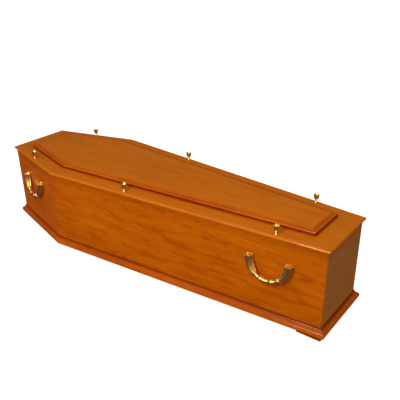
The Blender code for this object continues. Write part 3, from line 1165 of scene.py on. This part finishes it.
def slab_mesh(name, outline, profile, base_z, corner_radius):
    """Flat board whose edge follows a profile all round."""
    rings = []
    for out, up, _, _ in profile:
        plan = even_offset(outline, out)
        ring = []
        for corner in range(len(plan)):
            for point in rounded_corner(plan, corner, corner_radius, 4):
                ring.append((point.x, point.y, base_z + up))
        rings.append(ring)
    data = ring_mesh(name, rings)
    count = len(rings[0])
    store(data, HOLLOW, "FLOAT", [point[2] for point in profile for _ in range(count)])
    store(data, RUBBED_HIGHLIGHT, "FLOAT", [point[3] for point in profile for _ in range(count)])
    return data


class COFFIN_OT_walls(Operator):
    """Make the two bent side boards and the two end boards"""

    bl_idname = "coffin.walls"
    bl_label = "Walls"

    def execute(self, context):
        sizes = context.scene.coffin_sizes
        finish = context.scene.coffin_finish
        outline = plan_outline(sizes)
        base_z = bottom_of("side_board_near")
        height = top_of("side_board_near") - base_z
        is_inner = inner_face_test(outline, sizes.wall_thickness)
        boards = {
            "side_board_near": (HEAD_NEAR, 2, "side_veneer", (0.0, 0.0, 0.0)),
            "side_board_far": (FOOT_FAR, 2, "side_veneer", (4.3, 0.6, 0.0)),
            "foot_board": (FOOT_NEAR, 1, "end_veneer", (7.1, 0.3, 0.2)),
            "head_board": (HEAD_FAR, 1, "end_veneer", (9.4, 0.5, 0.4)),
        }
        for node, (edge, count, veneer, shift) in boards.items():
            name = f"veneered_{node}"
            data = board_mesh(name, outline, edge, count, sizes, base_z, height, shift)
            materials = [wood(veneer, finish), wood("bare_board", finish)]
            if count == 2:
                materials.append(wood("shoulder_veneer", finish))
            finish_piece(name, data, materials, [node])
            # Faces between shoulder and head take the shoulder veneer: painted light on the same
            # board
            if count == 2:
                give_faces(data, 2, lambda centre, normal: centre.x < outline[SHOULDER_NEAR].x)
            give_faces(data, 1, is_inner)
        return {"FINISHED"}


class COFFIN_OT_lid(Operator):
    """Make the lid board and the raised panel on it"""

    bl_idname = "coffin.lid"
    bl_label = "Lid and raised panel"

    def execute(self, context):
        sizes = context.scene.coffin_sizes
        finish = context.scene.coffin_finish
        outline = plan_outline(sizes)
        base_z = bottom_of("lid_board")
        thickness = top_of("lid_board") - base_z
        lid_corner, panel_corner = 0.0015, 0.0006
        profile = lid_profile(sizes, thickness)
        data = slab_mesh("moulded_lid", outline, profile, base_z, lid_corner)
        flat_grain(data, (11.7, 0.9, 0.0))
        materials = [wood("lid_veneer", finish), wood("bare_board", finish)]
        finish_piece("moulded_lid", data, materials, ["lid_board"])
        give_faces(data, 1, lambda centre, normal: normal.z < -0.99 and abs(centre.y) < 0.05)
        base_z = bottom_of("raised_panel")
        thickness = top_of("raised_panel") - base_z
        ease = 0.0004
        edge = [
            (-ease, 0.0, 0.0, 0.0),
            *shaded(arc((-ease, thickness - ease), ease, ease, 0, 90, 3), hollow=0.3),
            (-0.004, thickness, 0.0, 0.0),
        ]
        data = slab_mesh("veneered_panel", panel_outline(sizes), edge, base_z, panel_corner)
        flat_grain(data, (2.2, 0.35, 0.0))
        finish_piece("veneered_panel", data, materials[:1], ["raised_panel"])
        return {"FINISHED"}


def make_moulding(context, outline, kind, form, profile_of, grain_shift):
    """Six mitred lengths of a moulding, each with its own stretch of the grain."""
    sizes = context.scene.coffin_sizes
    material = wood("moulding_stain", context.scene.coffin_finish)
    for edge, place in enumerate(EDGE_NAMES):
        node = f"{kind}_{place}"
        name = f"{form}_{node}"
        base_z = bottom_of(node)
        profile = profile_of(sizes, top_of(node) - base_z)
        shift = (edge * grain_shift[0], *grain_shift[1:])
        data = mitred_length(name, outline, edge, profile, base_z, sizes.joint_gap, material, shift)
        finish_piece(name, data, [material], [node])


class COFFIN_OT_plinth(Operator):
    """Make the six mitred lengths of plinth moulding"""

    bl_idname = "coffin.plinth"
    bl_label = "Plinth moulding"

    def execute(self, context):
        outline = plan_outline(context.scene.coffin_sizes)
        make_moulding(context, outline, "plinth", "ogee", plinth_profile, (2.7, 0.4, 0.0))
        return {"FINISHED"}


class COFFIN_OT_panel_moulding(Operator):
    """Make the six mitred lengths of bead moulding round the raised panel"""

    bl_idname = "coffin.panel_moulding"
    bl_label = "Panel moulding"

    def execute(self, context):
        outline = panel_outline(context.scene.coffin_sizes)
        make_moulding(context, outline, "panel_moulding", "bead", moulding_profile, (3.1, 0.7, 0.1))
        return {"FINISHED"}


class COFFIN_OT_plain_boards(Operator):
    """Give the base board and the bearers their finishes"""

    bl_idname = "coffin.plain_boards"
    bl_label = "Base board and bearers"

    def execute(self, context):
        finish = context.scene.coffin_finish
        base = wood_material(
            "base_board_wood", finish.bare_light, finish.bare_dark, BARE_LOOK, 0.0, along=0.0
        )
        # Bearers: the moulding's colours at half strength, painted shade for the bearers under the
        # box
        bearer = wood_material(
            "bearer_stain",
            [value * 0.5 for value in finish.moulding_light],
            [value * 0.5 for value in finish.moulding_dark],
            {**MOULDING_LOOK, "roughness": 0.6},
            0.1,
            along=math.radians(90),
        )
        plain = {"base_board": base, "bearer_foot": bearer, "bearer_head": bearer}
        for node, material in plain.items():
            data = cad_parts[node].data
            data.materials.clear()
            data.materials.append(material)
        return {"FINISHED"}


# Castings


def smooth_between(places, values, wanted):
    """Values at the wanted places on a smooth curve that never overshoots its points."""
    places = np.array(places, float)
    values = np.array(values, float)
    steps = np.diff(places)
    slopes = np.diff(values) / steps
    tangents = np.zeros_like(values)
    for index in range(1, len(values) - 1):
        before, after = slopes[index - 1], slopes[index]
        if before * after > 0:
            tangents[index] = 2 * before * after / (before + after)
    results = []
    for place in wanted:
        index = int(np.clip(np.searchsorted(places, place) - 1, 0, len(steps) - 1))
        step = steps[index]
        share = (place - places[index]) / step
        rest = 1 - share
        value = values[index] * (1 + 2 * share) * rest**2
        value += values[index + 1] * (3 - 2 * share) * share**2
        value += tangents[index] * step * share * rest**2
        value -= tangents[index + 1] * step * rest * share**2
        results.append(float(value))
    return results


def curves_through(rows, wanted):
    """Smooth values at the wanted shares, for each column beside the shares of a table."""
    shares, *columns = zip(*rows)
    return [smooth_between(shares, column, wanted) for column in columns]


def bead(place, centre, half_width, height):
    """Height of a round bead at a place across it."""
    across = (place - centre) / half_width
    return height * math.sqrt(max(0.0, 1 - across * across))


def groove(angle, lobes):
    """How deep in the groove between two lobes an angle is, from 0 to 1."""
    return 1 - abs(math.cos(lobes * angle / 2)) ** 0.6


SCREW_STATIONS = {"head": 0.240, "middle": 0.917, "foot": 1.679}
SCREW_OUTLINE = [
    # share of the height, radius in crown radii, petal depth
    (0.000, 0.65, 0.0),
    (0.030, 0.65, 0.0),
    (0.060, 0.60, 0.0),
    (0.120, 0.38, 0.0),
    (0.180, 0.25, 0.0),
    (0.240, 0.22, 0.0),
    (0.290, 0.30, 0.05),
    (0.370, 0.55, 0.12),
    (0.480, 0.79, 0.18),
    (0.620, 0.93, 0.22),
    (0.770, 0.965, 0.24),
    (0.910, 1.00, 0.27),
]


SCREW_BEADS = [
    # centre and half width as shares of the height, how far it stands out
    (0.045, 0.025, 0.0006),
    (0.215, 0.026, 0.0012),
    (0.285, 0.034, 0.0022),
    (0.895, 0.030, 0.0004),
]
SCREW_CUP = [
    # inwards from the rim: size, depth, how brown the casting is
    (0.93, 0.0002, 0.1),
    (0.86, 0.0018, 0.4),
    (0.74, 0.0060, 0.7),
    (0.52, 0.0100, 0.8),
    (0.34, 0.0105, 0.7),
    (0.26, 0.0080, 0.3),
    (0.14, 0.0070, 0.1),
]
SHANK_RADIUS = 0.0025
SHANK_LENGTH = 0.050


def screw_prototype(sizes):
    """Lid screw with a turned foot, a thin stem and an open tulip crown, standing at the origin."""
    height = sizes.screw_height
    petals = sizes.crown_petals
    count = 8 * petals
    wanted = sorted(set(np.linspace(0.0, 0.91, 70).round(5)) | {0.03})
    radii, depths = curves_through(SCREW_OUTLINE, wanted)
    angles = [math.tau * index / count for index in range(count)]
    shank = [(SHANK_RADIUS * math.cos(a), SHANK_RADIUS * math.sin(a)) for a in angles]
    rings = [[(x, y, z) for x, y in shank] for z in (-SHANK_LENGTH, 0.0)]
    hollow = [[0.5] * count, [0.5] * count]
    for share, radius, depth in zip(wanted, radii, depths):
        radius = radius * sizes.crown_radius + sum(bead(share, *row) for row in SCREW_BEADS)
        flare = max(0.0, (share - 0.6) / 0.31)
        ring = []
        dark = []
        for angle in angles:
            cut = groove(angle, petals)
            out = radius * (1 - depth * cut)
            rise = height * 0.081 * flare * flare * (1 - 1.9 * cut)
            ring.append((out * math.cos(angle), out * math.sin(angle), share * height + rise))
            dark.append(min(1.0, 1.8 * cut * depth))
        rings.append(ring)
        hollow.append(dark)
    rim = rings[-1]
    for scale, drop, dark in SCREW_CUP:
        rings.append([(x * scale, y * scale, z - drop) for x, y, z in rim])
        hollow.append([dark] * count)
    data = ring_mesh("lid_screw", rings)
    store(data, HOLLOW, "FLOAT", [value for ring in hollow for value in ring])
    mark_arrises(data)
    return data


def screw_places(sizes):
    """Place of each lid screw, over the middle of the wall."""
    outline = even_offset(plan_outline(sizes), -sizes.wall_thickness / 2)
    head, shoulder, foot = outline[:3]
    height = top_of("lid_board") + sizes.joint_gap
    places = {}
    for station, distance in SCREW_STATIONS.items():
        x = distance - sizes.body_length / 2
        start, stop = (head, shoulder) if x < shoulder.x else (shoulder, foot)
        y = start.y + (stop.y - start.y) * (x - start.x) / (stop.x - start.x)
        places[f"near_{station}"] = (x, y, height, 0.2)
        places[f"far_{station}"] = (x, -y, height, 0.5)
    return places


class COFFIN_OT_lid_screws(Operator):
    """Make the six gilt lid screws"""

    bl_idname = "coffin.lid_screws"
    bl_label = "Lid screws"

    def execute(self, context):
        sizes = context.scene.coffin_sizes
        material = gilt_metal(context.scene.coffin_finish)
        places = screw_places(sizes)
        data = castings_mesh("tulip_lid_screws", screw_prototype(sizes), places.values(), material)
        nodes = [f"lid_screw_{place}" for place in places]
        finish_piece("tulip_lid_screws", data, [material], nodes, sharp=False)
        return {"FINISHED"}


HANDLE_FROM_END = 0.238
HANDLE_TOP = 0.307
HANDLE_PATINA = [
    # share of the arm, how brown the casting is
    (0.00, 0.50),
    (0.07, 0.50),
    (0.10, 0.20),
    (0.13, 0.0),
    (0.19, 0.0),
    (0.225, 0.60),
    (0.25, 0.90),
    (0.34, 0.90),
    (0.365, 0.20),
    (0.38, 0.0),
    (0.42, 0.0),
    (0.435, 0.90),
    (0.50, 0.50),
    (0.58, 0.15),
    (0.70, 0.04),
    (0.96, 0.02),
    (1.00, 0.0),
]
HANDLE_OUTLINE = [
    # share of the arm, half width and half depth in millimetres, flute depth
    (0.00, 9.2, 9.2, 0.0),
    (0.06, 9.3, 9.3, 0.0),
    (0.095, 10.2, 10.2, 0.0),
    (0.13, 12.2, 12.2, 0.0),
    (0.16, 12.6, 12.6, 0.0),
    (0.19, 12.0, 12.0, 0.0),
    (0.23, 8.8, 8.8, 0.0),
    (0.28, 8.2, 8.2, 0.0),
    (0.34, 9.4, 9.4, 0.0),
    (0.43, 12.2, 11.2, 0.06),
    (0.46, 13.6, 12.4, 0.20),
    (0.50, 15.0, 13.4, 0.32),
    (0.62, 16.4, 14.9, 0.34),
    (0.75, 17.2, 16.6, 0.34),
    (0.88, 18.0, 18.3, 0.34),
    (1.00, 18.5, 19.5, 0.36),
]


COLLAR_BEADS = [
    # centre and half width as shares of the arm, how far it stands out in millimetres
    (0.398, 0.026, 4.0),
    (0.438, 0.010, 1.6),
]
HORN_MOUTH = [
    # inwards from the rim: size, depth, how brown the casting is
    (0.94, -0.0004, 0.0),
    (0.88, 0.0012, 0.3),
    (0.80, 0.0080, 0.9),
    (0.60, 0.0150, 1.0),
    (0.25, 0.0170, 1.0),
]
# Half width of the horn's mouth that the outline is drawn for, and metres in a millimetre
DRAWN_HORN = 0.0185
MILLIMETRE = 0.001


def arm_curve(sizes, count):
    """Curve of one arm as (along the wall, up, out of the wall), from the grip's middle."""
    stand_off, horn_stand_off = 0.030, 0.0125
    grip_pull, horn_pull = 0.055, 0.056
    lean = math.radians(4)
    start = Vector((0, HANDLE_TOP - sizes.handle_drop))
    stop = Vector((sizes.handle_half_span, HANDLE_TOP))
    leave = start + Vector((grip_pull, 0))
    arrive = stop - Vector((math.sin(lean), math.cos(lean))) * horn_pull
    points = []
    for index, place in enumerate(interpolate_bezier(start, leave, arrive, stop, count)):
        share = index / (count - 1)
        fall = share * share * (3 - 2 * share)
        out = stand_off + (horn_stand_off - stand_off) * fall
        points.append(Vector((place.x, place.y, out)))
    return points


def arm_place(curve, share):
    """Point on the arm's curve and its direction there."""
    at = min(max(share, 0.0), 1.0) * (len(curve) - 1)
    index = min(int(at), len(curve) - 2)
    point = curve[index].lerp(curve[index + 1], at - index)
    ahead = curve[min(index + 2, len(curve) - 1)]
    behind = curve[max(index - 1, 0)]
    return point, (ahead - behind).normalized()


def arm_rings(sizes):
    """Rings of one arm from the grip's middle to the horn's mouth, and how hollow they are."""
    curve = arm_curve(sizes, 401)
    wanted = list(np.linspace(0.0, 0.36, 37)) + list(np.linspace(0.365, 0.46, 39))
    wanted += list(np.linspace(0.465, 1.0, 66))
    horn = sizes.horn_half_width / DRAWN_HORN * MILLIMETRE
    columns = curves_through(HANDLE_OUTLINE, wanted) + curves_through(HANDLE_PATINA, wanted)
    count = 8 * sizes.horn_flutes
    rings = []
    hollow = []
    for share, width, depth, flute, brown in zip(wanted, *columns):
        collar = sum(bead(share, *row) for row in COLLAR_BEADS)
        ring = []
        dark = []
        flare = max(0.0, (share - 0.8) / 0.2)
        for step in range(count):
            angle = math.tau * step / count
            cut = groove(angle - math.pi / 2, sizes.horn_flutes)
            eased = share - 0.045 * cut * flare * flare
            point, along = arm_place(curve, eased)
            across = along.cross(Vector((0, 0, 1))).normalized()
            outward = across.cross(along).normalized()
            reach = (1 - flute * cut) * horn
            spot = point + across * ((width + collar) * reach * math.cos(angle))
            spot += outward * ((depth + collar) * reach * math.sin(angle))
            spot.z = max(spot.z, sizes.joint_gap)
            ring.append(spot)
            dark.append(min(1.0, brown + 3.4 * flute * cut))
        rings.append(ring)
        hollow.append(dark)
    return rings, hollow, curve


def handle_prototype(sizes):
    """Handle with two fluted horns, standing on the wall's face: X along, Y out, Z up."""
    rings, hollow, curve = arm_rings(sizes)
    rim = rings[-1]
    centre = sum(rim, Vector((0, 0, 0))) / len(rim)
    inward = (curve[-3] - curve[-1]).normalized()
    for scale, depth, dark in HORN_MOUTH:
        ring = [centre + (point - centre) * scale + inward * depth for point in rim]
        for point in ring:
            point.z = max(point.z, sizes.joint_gap)
        rings.append(ring)
        hollow.append([dark] * len(ring))
    other = [[Vector((-p.x, p.y, p.z)) for p in ring] for ring in rings[1:]]
    rings = other[::-1] + rings
    hollow = hollow[:0:-1] + hollow
    upright = [[(p.x, p.z, p.y) for p in ring] for ring in rings]
    data = ring_mesh("handle", upright)
    store(data, HOLLOW, "FLOAT", [value for ring in hollow for value in ring])
    mark_arrises(data)
    return data


def handle_places(sizes):
    """Place of each handle on the plan, and how far it is turned."""
    outline = plan_outline(sizes)
    stations = {
        "near_head": (HEAD_NEAR, HANDLE_FROM_END),
        "near_foot": (SHOULDER_NEAR, None),
        "far_foot": (FOOT_FAR, HANDLE_FROM_END),
        "far_head": (SHOULDER_FAR, None),
    }
    places = {}
    for place, (edge, distance) in stations.items():
        length = (outline[(edge + 1) % len(outline)] - outline[edge]).length
        along = edge_direction(outline, edge)
        reach = length - HANDLE_FROM_END if distance is None else distance
        spot = outline[edge] + along * reach
        turn = math.atan2(along.y, along.x) + math.pi
        places[place] = (spot.x, spot.y, 0.0, turn)
    return places


class COFFIN_OT_handles(Operator):
    """Make the four cast handles"""

    bl_idname = "coffin.handles"
    bl_label = "Handles"

    def execute(self, context):
        sizes = context.scene.coffin_sizes
        material = gilt_metal(context.scene.coffin_finish)
        places = handle_places(sizes)
        data = castings_mesh("cast_handles", handle_prototype(sizes), places.values(), material)
        nodes = [f"handle_{place}" for place in places]
        finish_piece("cast_handles", data, [material], nodes, sharp=False)
        return {"FINISHED"}


# Stage

FLOOR_REACH = 14.0
FLOOR_SEEN = (0.92, 0.92, 0.92, 1)
FLOOR_THROWN = (0.56, 0.52, 0.46, 1)
FLOOR_MIRRORED = (0.02, 0.012, 0.004, 1)
WHITE = (1, 1, 1, 1)
KEY_PLACE = Vector((0.50, -2.15, 1.95))
KEY_AIM = Vector((0.1, -0.1, 0.2))
KEY_SIZE = 0.6
KEY_COLOUR = (1, 0.97, 0.93)
WINDOW_WAY = Vector((0.15, -0.70, 0.70))
WINDOW_COLOUR = (1.0, 0.85, 0.55)
CAMERA_PLACE = (1.6256, -1.8277, 1.4883)
# Turn of the camera left, up and about its own axis, in radians
CAMERA_TURN = (-0.6550, -0.4575, -0.0133)


def add_key(power):
    """Square soft light close to the camera."""
    light = bpy.data.lights.new("key_softbox", "AREA")
    light.energy = power
    light.size = KEY_SIZE
    light.color = KEY_COLOUR
    lamp = link_object("key_softbox", light)
    lamp.location = KEY_PLACE
    lamp.rotation_euler = (KEY_AIM - KEY_PLACE).to_track_quat("-Z", "Y").to_euler()


def add_floor():
    """Broad pale floor, which looks near white and throws little light back on the coffin."""
    data = bpy.data.meshes.new("studio_floor")
    corners = [(-1, -1), (1, -1), (1, 1), (-1, 1)]
    points = [(x * FLOOR_REACH, y * FLOOR_REACH, 0) for x, y in corners]
    data.from_pydata(points, [], [(0, 1, 2, 3)])
    material, tree, shader = new_material("pale_floor")
    path = tree.nodes.new("ShaderNodeLightPath").outputs
    thrown = blend_colour(tree, path["Is Glossy Ray"], FLOOR_THROWN, FLOOR_MIRRORED)
    surface = {
        "Base Color": blend_colour(tree, path["Is Camera Ray"], thrown, FLOOR_SEEN),
        "Roughness": 0.9,
        "Specular IOR Level": 0.0,
        "Emission Color": WHITE,
        "Emission Strength": calc(tree, "MULTIPLY", path["Is Camera Ray"], 0.75),
    }
    fill(tree, shader, surface)
    data.materials.append(material)
    floor = link_object("studio_floor", data)


def add_room(brightness, window):
    """White backdrop, an even room, and a bright window behind the camera in polished surfaces."""
    world = bpy.data.worlds.new("studio_room")
    bpy.context.scene.world = world
    world.use_nodes = True
    tree = world.node_tree
    path = tree.nodes.new("ShaderNodeLightPath").outputs
    way = tree.nodes.new("ShaderNodeTexCoord").outputs["Generated"]
    values = {0: way, 1: WINDOW_WAY.normalized()}
    facing = put(tree, "ShaderNodeVectorMath", values, operation="DOT_PRODUCT").outputs["Value"]
    glow = remap(tree, facing, 0.15, 0.60, 0.04, 0.2 * window)
    core = remap(tree, facing, 0.80, 0.94, 0.0, window)
    warm = {0: WINDOW_COLOUR, "Scale": calc(tree, "ADD", glow, core)}
    mirrored = put(tree, "ShaderNodeVectorMath", warm, operation="SCALE").outputs[0]
    even = (brightness, brightness, brightness, 1)
    lit = blend_colour(tree, path["Is Glossy Ray"], even, mirrored)
    seen = blend_colour(tree, path["Is Camera Ray"], lit, WHITE)
    fill(tree, tree.nodes["Background"], {"Color": seen})


def add_camera(focal_length):
    """Camera above the near foot corner, looking back along the lid."""
    yaw, pitch, roll = CAMERA_TURN
    ahead = Vector(
        (math.sin(yaw) * math.cos(pitch), math.cos(yaw) * math.cos(pitch), math.sin(pitch))
    )
    level = Vector((math.cos(yaw), -math.sin(yaw), 0))
    above = level.cross(ahead)
    right = level * math.cos(roll) + above * math.sin(roll)
    up = above * math.cos(roll) - level * math.sin(roll)
    turn = Matrix((right, up, -ahead)).transposed().to_4x4()
    data = bpy.data.cameras.new("studio_camera")
    data.sensor_width = 36
    data.lens = focal_length
    camera = link_object("studio_camera", data)
    camera.matrix_world = Matrix.Translation(CAMERA_PLACE) @ turn
    bpy.context.scene.camera = camera


class COFFIN_OT_stage(Operator):
    """Set up the floor, room, lights and camera"""

    bl_idname = "coffin.stage"
    bl_label = "Studio"

    def execute(self, context):
        studio = context.scene.coffin_studio
        add_floor()
        add_room(studio.room_light, studio.window_light)
        add_key(studio.key_power)
        add_camera(studio.focal_length)
        context.scene.view_settings.view_transform = "Standard"
        return {"FINISHED"}


class COFFIN_PT_sidebar(Panel):
    """Lists the pieces of the coffin"""

    bl_label = "Wooden coffin"
    bl_idname = "COFFIN_PT_sidebar"
    bl_space_type = "VIEW_3D"
    bl_region_type = "UI"
    bl_category = "Coffin"

    def draw(self, context):
        layout = self.layout
        for operator in OPERATORS:
            layout.operator(operator.bl_idname)
        for settings in ("coffin_sizes", "coffin_finish", "coffin_studio"):
            group = getattr(context.scene, settings)
            column = layout.column(align=True)
            for key in group.__annotations__:
                column.prop(group, key)


GROUPS = {
    "coffin_sizes": CoffinSizes,
    "coffin_finish": CoffinFinish,
    "coffin_studio": StudioSettings,
}
OPERATORS = (
    COFFIN_OT_walls,
    COFFIN_OT_lid,
    COFFIN_OT_plinth,
    COFFIN_OT_panel_moulding,
    COFFIN_OT_plain_boards,
    COFFIN_OT_lid_screws,
    COFFIN_OT_handles,
    COFFIN_OT_stage,
)


def register():
    """Register the classes and hang their settings on the scene."""
    for item in (*GROUPS.values(), *OPERATORS, COFFIN_PT_sidebar):
        bpy.utils.register_class(item)
    for name, group in GROUPS.items():
        setattr(bpy.types.Scene, name, PointerProperty(type=group))


def unregister():
    """Take the settings and classes away again."""
    for name in GROUPS:
        delattr(bpy.types.Scene, name)
    for item in reversed((*GROUPS.values(), *OPERATORS, COFFIN_PT_sidebar)):
        bpy.utils.unregister_class(item)


def main():
    """Make every piece and the stage."""
    register()
    bpy.ops.coffin.walls()
    bpy.ops.coffin.lid()
    bpy.ops.coffin.plinth()
    bpy.ops.coffin.panel_moulding()
    bpy.ops.coffin.plain_boards()
    bpy.ops.coffin.lid_screws()
    bpy.ops.coffin.handles()
    bpy.ops.coffin.stage()


if __name__ == "__main__":
    main()
